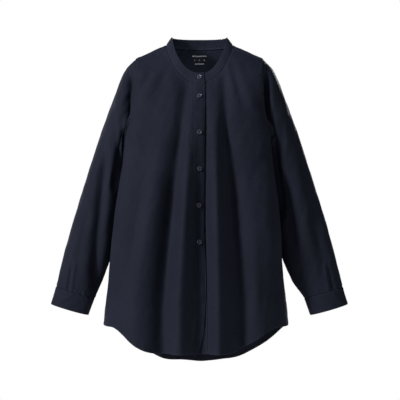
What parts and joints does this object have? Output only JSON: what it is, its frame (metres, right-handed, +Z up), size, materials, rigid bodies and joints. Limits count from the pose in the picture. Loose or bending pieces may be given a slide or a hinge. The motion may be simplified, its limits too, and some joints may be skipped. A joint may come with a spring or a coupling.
{
  "type": "mandarin collar shirt",
  "caption": "Long shirt with a stand collar, buttoned front, long cuffed sleeves and a curved shirt-tail hem, filled out as worn.",
  "frame": {"origin": "middle of the neck opening, level with the shoulders beside the neck, where the wearer holds the shirt up", "axes": "+Z up, -Y towards the buttoned front, +X towards the wearer's left"},
  "size_m": [0.7126, 0.2644, 0.7917],
  "materials": {
    "navy_cotton": "matt fine plain weave",
    "button": "satin, dark grey-blue"
  },
  "bodies": {
    "root": {"front_right": "navy_cotton", "front_left": "navy_cotton", "back": "navy_cotton", "band_upper": "navy_cotton", "band_under": "navy_cotton", "collar": "navy_cotton", "sleeve_right": "navy_cotton", "sleeve_left": "navy_cotton", "cuff_right": "navy_cotton", "cuff_left": "navy_cotton", "button_collar": "button", "button_1": "button", "button_2": "button", "button_3": "button", "button_4": "button", "button_5": "button", "cuff_button_right": "button", "cuff_button_left": "button"}
  },
  "joints": []
}
